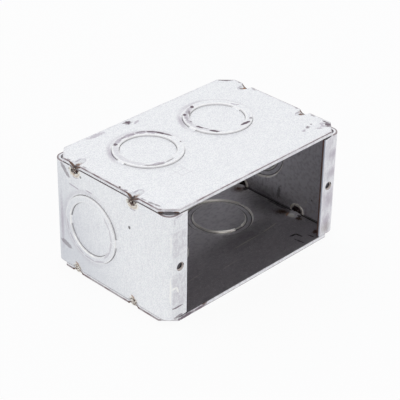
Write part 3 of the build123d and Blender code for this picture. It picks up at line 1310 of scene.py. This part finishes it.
@dataclass(frozen=True)
class WeldBurn:
    """Scorch, soot and pale halo of the welds of one row, on the plates and on the strip, with painted shade
    along the dimples and a painted shadow under the bulge.
    """

    row: float

    def on_plate(self) -> Marks:
        """Brown lips of the dimple, its sooty mouth, painted shade along its pressed outline and smears
        beside it.

        Returns:
            The marks of the plates.
        """
        y, top = self.row, BOX.upper_face
        edge = MarkPlane(Face.END, BOX.plate_x, True)
        groove = MarkPlane(Face.FLAT, top - 0.8, True)
        skin = MarkPlane(Face.FLAT, top - 0.1, True)
        return (
            *edge.stroke(((y + 2.9, top - 0.3), (y + 0.1, top - 1.6)), 0.55, Tint.SCORCH, 0.95, 0.3, 0.9),
            *edge.stroke(((y - 3.1, top - 0.4), (y - 0.3, top - 1.6)), 0.5, Tint.SCORCH, 0.95, 0.3, 0.9),
            *groove.spot((46.5, y - 0.3), (1.5, 1.3), Tint.SCORCH, 0.8, 0, 0.5, 1.4),
            *groove.spot((47.1, y), (0.7, 1.0), Tint.SOOT_AND_SHADE, 0.9, 0, 0.4, 1.6),
            *groove.spot((45.4, y - 0.6), (1.4, 1.2), Tint.RUST, 0.3, 0, 0.6, 1.2),
            # Painted shade along the dimple's outline
            *skin.stroke(((46.0, y + 1.5), (43.0, y + 1.2)), 0.3, Tint.SMUDGE_AND_SHADE, 0.75, 0.2),
            *skin.stroke(((43.0, y + 1.2), (42.0, y), (43.0, y - 1.5)), 0.28, Tint.SMUDGE_AND_SHADE, 0.5, 0.2),
            *skin.stroke(((43.0, y - 1.5), (46.2, y - 2.0)), 0.28, Tint.SMUDGE_AND_SHADE, 0.6, 0.2),
            *skin.spot((46.9, y + 4.0), (0.6, 1.1), Tint.SCUFF, 0.55),
            *skin.spot((46.6, y - 4.7), (0.5, 1.6), Tint.SCUFF, 0.5),
        )

    def on_strip(self) -> Marks:
        """Pale halo, brown ring and soot on both faces of the end walls, and a painted shadow under the
        weld's bulge.

        Returns:
            The marks of the strip.
        """
        y, top = self.row, BOX.upper_face
        wall = MarkPlane(Face.END, BOX.end, True)
        inner = MarkPlane(Face.END, BOX.end - BOX.sheet, True)
        heart = (y, top - 2.6)
        splash = (y, top - BOX.splash)
        return (
            *wall.spot(heart, (2.6, 1.9), Tint.HALO, 0.8, 0, 0.4),
            *wall.spot((y - 0.2, top - 2.5), (2.0, 1.5), Tint.SCORCH, 0.85, 0, 0.5),
            *wall.stroke(((y - 0.5, top - 4.0), (y + 0.8, top - 4.6)), 0.5, Tint.RUST, 0.65),
            *LEFT_END.spot((y, top - 3.5), (3.7, 2.7), Tint.HALO, 0.85, 0, 0.3),
            *LEFT_END.arc(heart, 2.7, (-160, -130, -100, -70, -40), 0.4, Tint.RUST, 0.35),
            # Painted shadow under the weld's bulge
            *LEFT_END.arc(heart, 3.5, (-120, -95, -70), 0.35, Tint.SMUDGE_AND_SHADE, 0.8),
            *inner.arc(splash, 3.4, (-180, -145, -110, -70, -35, 0), 0.7, Tint.HALO, 0.7, 0.25),
            *inner.spot(splash, (2.9, 2.9), Tint.SOOT_AND_SHADE, 0.95, 0, 0.3),
        )


BURNS = tuple(WeldBurn(row) for row in BOX.weld_rows)
UPPER_MARKS: Marks = (
    # Rings of the upper plate
    *RING_TOP.strokes(
        Tint.SCUFF,
        (0.9, 0.75, 0.6, (-14.6, 19.7), (-10.6, 17.7)),
        (1.05, 1.0, 0.6, (-11.2, 18.0), (-8.9, 14.8), (-7.8, 11.9)),
        (0.75, 0.85, 0.5, (-7.9, 12.1), (-6.6, 8.1)),
        (0.45, 0.55, 0.8, (-24.6, 19.2), (-19.7, 20.3), (-15.0, 18.6)),
        (0.65, 0.55, 0.4, (-30.6, -1.2), (-26.8, -4.4), (-23.3, -5.2)),
        (0.5, 0.5, 0.4, (-23.3, -5.2), (-18.2, -4.8)),
        (0.6, 0.7, 0.4, (12.8, 18.3), (10.4, 15.6)),
        (0.9, 1.0, 0.4, (5.9, 6.4), (6.9, 4.3)),
        (0.55, 0.9, 0.4, (6.9, 4.3), (7.6, 2.4)),
        (0.85, 1.0, 0.4, (7.2, 0.7), (8.6, -1.8)),
        (0.85, 1.0, 0.4, (19.6, -4.4), (23.7, -4.6)),
    ),
    *RING_TOP.arc(BOX.near_ring, 13.0, (92, 70, 50, 30), 1.3, Tint.SMUDGE_AND_SHADE, 0.9, 0.6),
    # Painted shade on the left of the rings' tops
    *RING_TOP.arc(BOX.near_ring, 12.6, (130, 160, 190, 220), 1.5, Tint.SMUDGE_AND_SHADE, 0.28, 0.3),
    *RING_TOP.arc(BOX.far_ring, 12.6, (170, 200, 230), 1.5, Tint.SMUDGE_AND_SHADE, 0.28, 0.3),
    *RING_TOP.arc(BOX.far_ring, 12.6, (100, 124, 148, 170), 1.3, Tint.SMUDGE_AND_SHADE, 0.6, 0.6),
    *RING_TOP.spots(
        Tint.SCUFF,
        ((-27.4, 18.0), (1.5, 1.1), 0.9, 30, 0.7),
        ((-7.3, 2.4), (0.9, 0.6), 0.85, 0, 0.7),
        ((16.0, 19.8), (1.3, 0.9), 1.0, 40, 0.5),
        ((9.0, 17.0), (1.2, 0.9), 1.0, 40, 0.5),
        ((6.8, 11.2), (0.7, 0.6), 0.6, 0, 0.7),
        ((26.3, -3.0), (1.1, 0.9), 0.6, 0, 0.7),
    ),
    *RING_TOP.strokes(
        Tint.SMUDGE_AND_SHADE,
        (1.2, 0.8, 0.5, (-27.0, 18.6), (-22.1, 20.2), (-16.3, 19.3)),
        (0.9, 0.8, 0.5, (-28.0, -2.8), (-23.3, -4.6)),
        (0.5, 0.9, 0.5, (29.6, 11.0), (30.1, 9.1), (31.1, 8.2)),
    ),
    *RING_TOP.arc(BOX.far_ring, 12.8, (108, 134, 160), 0.7, Tint.SCUFF, 0.3, 1.0),
    # Face of the upper plate
    # Painted shadows outside the proud rings, on their left and behind them
    *FACE_TOP.shades(
        Tint.SMUDGE_AND_SHADE,
        ((-32.6, 14.6), (8.0, 1.9), 0.8, 60),
        ((5.0, 14.8), (7.5, 1.8), 0.75, 60),
        ((17.8, 22.4), (9.0, 2.0), 0.4, 0),
    ),
    *FACE_TOP.spots(
        Tint.SCUFF,
        ((-10.8, 28.8), (2.1, 1.6), 1.0, 60, 1.0),
        ((37.9, -22.9), (1.3, 0.9), 0.7, 20, 1.0),
        ((40.6, -22.2), (0.8, 0.5), 0.6, 20, 1.0),
        ((45.3, -26.9), (1.5, 1.7), 0.95, 30, 0.7),
    ),
    *FACE_TOP.strokes(
        Tint.SCUFF,
        (0.7, 0.85, 0.7, (-12.9, 30.1), (-9.2, 27.9)),
        (0.6, 0.8, 0.7, (-11.7, 27.4), (-10.4, 30.4)),
        (0.7, 0.85, 0.7, (46.3, -23.2), (46.2, -26.6)),
        (0.6, 0.8, 0.7, (43.3, -27.4), (45.4, -28.6)),
        (1.2, 0.85, 0.5, (42.4, 30.6), (46.3, 26.6)),
        (0.6, 0.6, 0.5, (-46.6, -20.5), (-46.1, -23.0), (-45.6, -25.8)),
    ),
    *FACE_TOP.spots(
        Tint.SMUDGE_AND_SHADE,
        ((-8.0, 27.0), (2.4, 0.8), 0.8, 20, 0.7),
        ((-27.0, 29.6), (5.0, 1.4), 0.7, 0, 0.7),
        ((34.6, -23.7), (1.5, 0.8), 0.95, 20, 1.0),
        ((43.4, -25.4), (2.6, 1.3), 0.8, 40, 1.0),
    ),
    *FACE_TOP.strokes(
        Tint.SMUDGE_AND_SHADE,
        (0.6, 0.9, 1.0, (39.4, -25.6), (41.4, -27.6)),
        (0.3, 0.25, 0.7, (-28.0, -9.0), (-16.0, -8.4)),
        (0.3, 0.25, 0.7, (-30.0, -12.4), (-18.5, -12.0)),
        (0.3, 0.25, 0.7, (-27.0, -15.6), (-17.0, -15.4)),
        (0.3, 0.25, 0.7, (-24.6, -7.4), (-24.0, -17.8)),
        (0.3, 0.25, 0.7, (-20.4, -7.0), (-20.0, -18.2)),
    ),
    # Weld dimples of the right end
    *GROOVE.strokes(
        Tint.SCORCH,
        (0.8, 0.7, 0.5, (43.6, 19.1), (45.0, 18.9)),
        (0.6, 0.95, 0.4, (44.0, -12.9), (46.6, -12.4)),
        depth=1.4,
    ),
    *GROOVE.spots(
        Tint.RUST,
        ((46.2, 18.9), (1.3, 0.9), 0.95, 0, 0.4),
        ((46.0, -11.4), (1.2, 0.5), 0.3, 0, 0.5),
        depth=1.4,
    ),
    # Foot of the clipped corner at the front left
    # Painted shade in the gap under the clipped corner
    *CLIP_FOOT.strokes(Tint.SOOT_AND_SHADE, (0.4, 0.75, 0.3, (-46.6, -27.4), (-43.0, -31.0)), depth=0.4),
    *CLIP_FOOT.strokes(
        Tint.SCORCH,
        (0.45, 0.9, 0.3, (-47.5, -26.5), (-46.3, -27.7)),
        (0.45, 0.9, 0.3, (-43.4, -30.6), (-42.3, -31.7)),
        depth=0.4,
    ),
    *(mark for burn in BURNS for mark in burn.on_plate()),
)
LOWER_MARKS: Marks = (
    # Front edge of the lower plate
    *LOWER_EDGE.strokes(
        Tint.SCUFF,
        (0.9, 0.9, 0.5, (-43.0, 1.5), (-34.0, 1.6)),
        (0.65, 0.85, 0.6, (-34.6, 1.6), (-27.0, 1.7)),
        depth=0.6,
    ),
    *LOWER_EDGE.strokes(Tint.SCORCH, (0.35, 0.8, 0.5, (-30.0, 2.2), (-26.8, 2.2)), depth=0.6),
    # Inside of the lower plate
    *FLOOR.strokes(
        Tint.SOOT_AND_SHADE,
        (0.55, 0.95, 0.5, (30.1, -23.3), (33.3, -23.8), (33.7, -26.7)),
        (0.45, 0.85, 0.5, (29.9, -25.7), (30.6, -30.5)),
        (0.45, 0.85, 0.5, (36.3, -27.7), (36.9, -30.4)),
        (0.9, 0.75, 0.6, (44.9, 4.0), (44.9, -9.6)),
    ),
    *FLOOR.spots(
        Tint.SCORCH,
        ((40.8, -28.4), (2.6, 1.6), 0.85, 0, 0.7),
        ((43.0, -16.6), (1.5, 1.7), 0.8, 0, 0.7),
    ),
    *FLOOR.strokes(
        Tint.HALO,
        (0.3, 0.5, 0.3, (5.8, -13.8), (23.9, -13.6), (34.9, -12.4)),
        (0.25, 0.3, 0.5, (-24.0, -17.6), (-13.0, -17.0)),
        (0.25, 0.25, 0.5, (-8.0, -21.0), (4.0, -20.2)),
    ),
    *FLOOR.shades(
        Tint.SCORCH,
        ((42.2, -8.2), (5.6, 3.4), 1.0, -50),
        ((42.8, 17.4), (4.4, 3.8), 1.0, 0),
    ),
    *FLOOR.shades(Tint.HALO, ((42.6, -12.6), (1.9, 2.9), 0.95, 12)),
    *FLOOR.spots(Tint.PALE_AND_HIGHLIGHT, ((43.3, -12.8), (0.9, 1.5), 0.5, 12, 0.5)),
    *FLOOR.strokes(Tint.RUST, (0.6, 0.7, 0.5, (41.0, -11.6), (43.4, -10.4))),
    *FLOOR.spots(
        Tint.SOOT_AND_SHADE,
        ((44.6, -15.6), (1.0, 1.3), 0.85, 0, 0.7),
        ((45.0, 15.5), (2.0, 1.6), 0.8, 0, 0.7),
    ),
    *FLOOR.spots(Tint.HALO, ((43.6, 21.0), (1.8, 1.6), 0.8, 0, 0.4)),
    # Painted shade over the front of the floor and towards the right wall
    *FLOOR.shades(
        Tint.SOOT_AND_SHADE,
        ((14.0, -10.0), (30.0, 10.0), 0.42, 0),
        ((41.0, 1.0), (11.0, 18.0), 0.5, 0),
    ),
    *(mark for burn in BURNS for mark in burn.on_plate()),
)
STRIP_MARKS: Marks = (
    # Left end and its ring
    *LEFT_END.strokes(
        Tint.SCUFF,
        (1.2, 0.55, 0.5, (26.2, 47.0), (23.8, 44.3), (22.4, 43.3)),
        (1.3, 0.5, 0.3, (27.2, 12.2), (22.7, 11.0)),
    ),
    # Painted shade along the back bend
    *LEFT_END.shades(Tint.SMUDGE_AND_SHADE, ((27.0, 21.0), (1.5, 19.0), 0.75, 0)),
    *LEFT_END.strokes(
        Tint.SMUDGE_AND_SHADE,
        (0.35, 0.9, 0.5, (22.9, 40.1), (16.0, 39.5)),
        (0.35, 0.9, 0.5, (13.1, 41.0), (9.1, 40.9)),
    ),
    *LEFT_END.spots(
        Tint.SOOT_AND_SHADE,
        ((-11.3, 35.3), (0.65, 0.75), 0.8, 0, 0.2),
        ((15.5, 45.4), (0.6, 0.6), 0.6, 0, 0.2),
    ),
    # Painted highlights along the edge of the slug
    *LEFT_RING.arc(BOX.left_ring, 11.4, (24, 12, 0, -12), 0.25, Tint.PALE_AND_HIGHLIGHT, 0.7, 0.4),
    *LEFT_RING.arc(BOX.left_ring, 11.5, (-30, -48, -66, -84, -102), 0.3, Tint.PALE_AND_HIGHLIGHT, 0.8, 0.4),
    # Painted shade on the proud ring
    *LEFT_RING.arc(BOX.left_ring, 13.4, (0, -25, -50, -75, -100, -125), 0.5, Tint.SMUDGE_AND_SHADE, 0.55, 0.3),
    *LEFT_RING.arc(BOX.left_ring, 12.1, (132, 156, 180, 204, 228), 0.6, Tint.SMUDGE_AND_SHADE, 0.45, 0.3),
    # Fronts of the flanges
    *FRONT.strokes(
        Tint.SMUDGE_AND_SHADE,
        (0.6, 0.6, 0.5, (-44.4, 47.2), (-41.0, 47.4)),
        (0.4, 0.4, 0.5, (-44.6, 46.8), (-44.6, 44.4)),
    ),
    *FRONT.strokes(Tint.SCUFF, (0.4, 0.85, 0.3, (-46.0, 7.8), (-40.3, 7.8))),
    *FRONT.spots(Tint.SCUFF, ((-42.3, 3.4), (3.0, 0.9), 0.7, 0, 0.7)),
    # Painted highlights along the front bend beside the pads
    *FRONT.strokes(
        Tint.PALE_AND_HIGHLIGHT,
        (0.4, 0.9, 0.3, (-46.0, 8.4), (-46.0, 22.8)),
        (0.35, 0.5, 0.3, (-45.9, 30.4), (-45.9, 41.0)),
        depth=1.8,
    ),
    *FRONT.strokes(Tint.PALE_AND_HIGHLIGHT, (0.5, 0.95, 0.4, (-45.7, 16.4), (-43.6, 17.0), (-42.6, 14.5))),
    *FRONT.shades(Tint.SCORCH, ((41.4, 5.4), (4.4, 4.2), 0.4, 0)),
    *FRONT.shades(
        Tint.SMUDGE_AND_SHADE,
        ((42.3, 18.6), (5.6, 6.2), 0.8, 0),
        ((42.9, 31.0), (5.6, 3.6), 0.8, 0),
        ((43.2, 39.6), (6.0, 3.6), 0.8, 0),
        ((41.4, 9.0), (4.0, 4.2), 0.9, 0),
    ),
    # Device holes, with painted shade inside them
    *BORE.spots(
        Tint.SOOT_AND_SHADE,
        ((-BOX.hole_x, BOX.middle_z), (2.0, 2.0), 0.9, 0, 0.0),
        ((BOX.hole_x, BOX.middle_z), (2.0, 2.0), 0.9, 0, 0.0),
        depth=2.4,
    ),
    # Inside of the right end
    # Painted shade low on the wall and over its knockout's slug
    *RIGHT_WALL.shades(
        Tint.SOOT_AND_SHADE,
        ((6.0, 4.0), (24.0, 9.0), 0.6, 0),
        ((10.05, 22.0), (13.0, 12.0), 0.6, 0),
    ),
    *RIGHT_WALL.strokes(
        Tint.SOOT_AND_SHADE,
        (1.1, 0.6, 0.6, (-1.7, 3.7), (-3.0, 11.2)),
        (0.8, 0.45, 0.6, (1.6, 3.6), (1.2, 9.0)),
        (1.0, 0.5, 0.5, (4.7, 3.5), (3.5, 7.0)),
    ),
    *RIGHT_WALL.spots(
        Tint.SOOT_AND_SHADE,
        ((5.4, 12.4), (0.7, 0.6), 0.6, 0, 0.7),
        ((-20.6, 11.6), (0.6, 0.6), 0.6, 0, 0.7),
        ((6.0, 4.0), (9.0, 1.9), 0.7, 0, 0.9),
    ),
    *RIGHT_WALL.spots(
        Tint.HALO,
        ((-17.4, 9.4), (0.6, 0.4), 0.5, 0, 0.7),
        ((-21.4, 6.4), (0.5, 0.5), 0.5, 0, 0.7),
    ),
    *(mark for burn in BURNS for mark in burn.on_strip()),
)


def main() -> None:
    """Builds the pieces in order."""
    logging.basicConfig(level=logging.INFO, format="%(message)s")
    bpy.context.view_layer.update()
    plates = Zinc()
    wrap = Zinc(
        pale=from_screen(245, 246, 248), dull=from_screen(226, 228, 233), cool=from_screen(235, 239, 240),
        inside_back=from_screen(238, 238, 242), inside_front_shade=from_screen(232, 231, 236), mottling=0.8,
    )
    upper = SheetPiece("upper_side_plate", UPPER_KNOCKOUTS).build()
    upper.data.materials.append(plates.plate_material(
        "zinc_upper_plate", BOX.upper_face, 1, UPPER_KNOCKOUTS, UPPER_MARKS, (0.5, 0.3)
    ))
    lower = SheetPiece("lower_side_plate", LOWER_KNOCKOUTS).build()
    lower.data.materials.append(plates.plate_material(
        "zinc_lower_plate", BOX.lower_face, -1, LOWER_KNOCKOUTS, LOWER_MARKS, (0.95, 0.3)
    ))
    strip = SheetPiece("body_wrap", STRIP_KNOCKOUTS).build()
    strip.data.materials.append(wrap.strip_material("zinc_strip", STRIP_KNOCKOUTS, STRIP_MARKS))
    WeldLumps().build()
    thread = WeldMetal(
        scorched=from_screen(96, 84, 82), dark=from_screen(58, 48, 48), bright=from_screen(190, 180, 176),
        soot=from_screen(40, 34, 34),
    )
    for x in (-BOX.hole_x, BOX.hole_x):
        ScrewThread(x).build(thread.material("cut_thread"))
    Studio().build()


if __name__ == "__main__":
    main()
